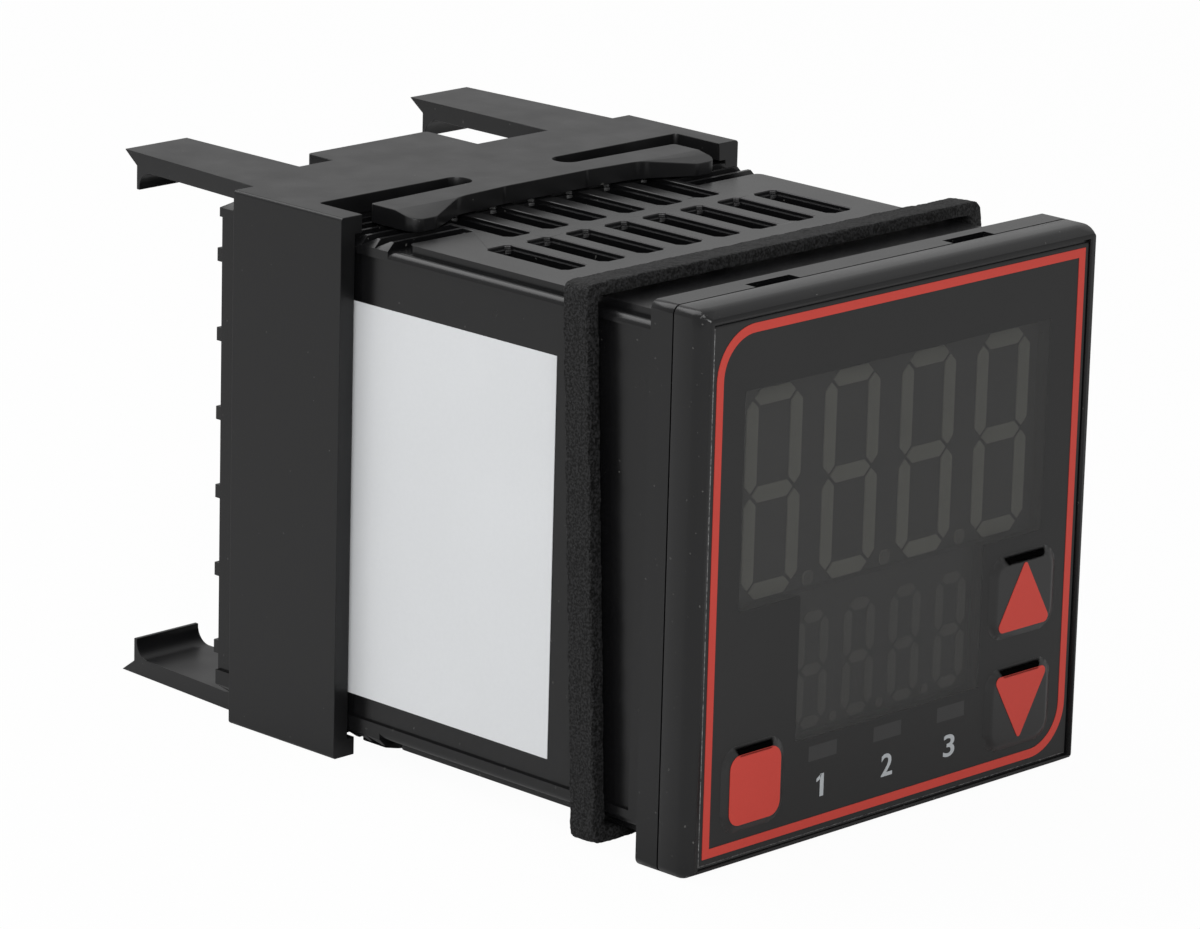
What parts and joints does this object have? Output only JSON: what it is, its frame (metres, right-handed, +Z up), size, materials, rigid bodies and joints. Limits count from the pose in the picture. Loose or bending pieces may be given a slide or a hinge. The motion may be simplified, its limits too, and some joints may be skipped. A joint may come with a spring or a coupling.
{
  "type": "pid temperature controller",
  "caption": "Square-faced panel-mounted temperature controller with display film, embossed keys, vented sleeve, foam gasket, ratchet clamp collar and rear screw terminals.",
  "frame": {"origin": "centre of the panel plane, on the rear face of the sleeve's flange", "axes": "+X to the right seen from the front, +Y to the rear into the panel, +Z up"},
  "size_m": [0.048, 0.0734, 0.0474],
  "materials": {
    "housing_plastic": "satin moulded PC/ABS",
    "terminal_plastic": "glass-filled nylon",
    "film_grey": "screen-printed polyester film",
    "smoked_window": "smoked polycarbonate",
    "red_ink": "screen print",
    "segment_diffuser": "milky epoxy",
    "display_case": "moulded",
    "key_film": "embossed polyester film on a pusher",
    "gasket_rubber": "closed-cell foam rubber",
    "label_white": "white vinyl",
    "terminal_brass": "tin-free brass",
    "screw_steel": "zinc plated",
    "circuit_board": "solder mask on glass epoxy",
    "light_pipe": "clear acrylic",
    "lamp_body": "moulded",
    "switch_case": "moulded",
    "button_plastic": "moulded",
    "header_plastic": "moulded",
    "ferrite": "sintered ferrite",
    "winding_tape": "polyester tape",
    "capacitor_sleeve": "sleeved can",
    "relay_case": "moulded",
    "chip_epoxy": "epoxy"
  },
  "bodies": {
    "housing": {"housing_sleeve": "housing_plastic", "side_label": "label_white", "panel_gasket": "gasket_rubber", "terminal_block_left": "terminal_plastic", "terminal_plates_left": "terminal_brass", "terminal_screws_left": "screw_steel", "edge_contacts_left": "terminal_brass", "terminal_block_middle": "terminal_plastic", "terminal_plates_middle": "terminal_brass", "terminal_screws_middle": "screw_steel", "edge_contacts_middle": "terminal_brass", "terminal_block_right": "terminal_plastic", "terminal_plates_right": "terminal_brass", "terminal_screws_right": "screw_steel", "edge_contacts_right": "terminal_brass"},
    "chassis": {"front_bezel": "housing_plastic", "film_overlay": "film_grey", "border_print": "red_ink", "display_window": "smoked_window", "light_pipes": "light_pipe", "indicator_lamps": "lamp_body", "upper_segments": "segment_diffuser", "lower_segments": "segment_diffuser", "upper_display": "display_case", "lower_display": "display_case", "display_board": "circuit_board", "tact_switches": "switch_case", "board_headers": "header_plastic", "input_board": "circuit_board", "output_board": "circuit_board", "power_board": "circuit_board", "transformer_core": "ferrite", "transformer_winding": "winding_tape", "supply_capacitors": "capacitor_sleeve", "output_relays": "relay_case", "processor_chips": "chip_epoxy"},
    "clamp": {"panel_clamp": "housing_plastic"},
    "square_key": {"key_square": "key_film", "button_square": "button_plastic", "print_square": "red_ink"},
    "up_key": {"key_up": "key_film", "button_up": "button_plastic", "print_up": "red_ink"},
    "down_key": {"key_down": "key_film", "button_down": "button_plastic", "print_down": "red_ink"}
  },
  "joints": [
    {"name": "chassis_draw", "type": "slide", "parent": "housing", "child": "chassis", "axis": [0, -1, 0], "range_m": [0, 0.055]},
    {"name": "clamp_slide", "type": "slide", "parent": "housing", "child": "clamp", "axis": [0, 1, 0], "range_m": [-0.0105, 0.025]},
    {"name": "square_key_press", "type": "slide", "parent": "chassis", "child": "square_key", "axis": [0, 1, 0], "range_m": [0, 0.0004], "stiffness_N_per_m": 800},
    {"name": "up_key_press", "type": "slide", "parent": "chassis", "child": "up_key", "axis": [0, 1, 0], "range_m": [0, 0.0004], "stiffness_N_per_m": 800},
    {"name": "down_key_press", "type": "slide", "parent": "chassis", "child": "down_key", "axis": [0, 1, 0], "range_m": [0, 0.0004], "stiffness_N_per_m": 800}
  ]
}
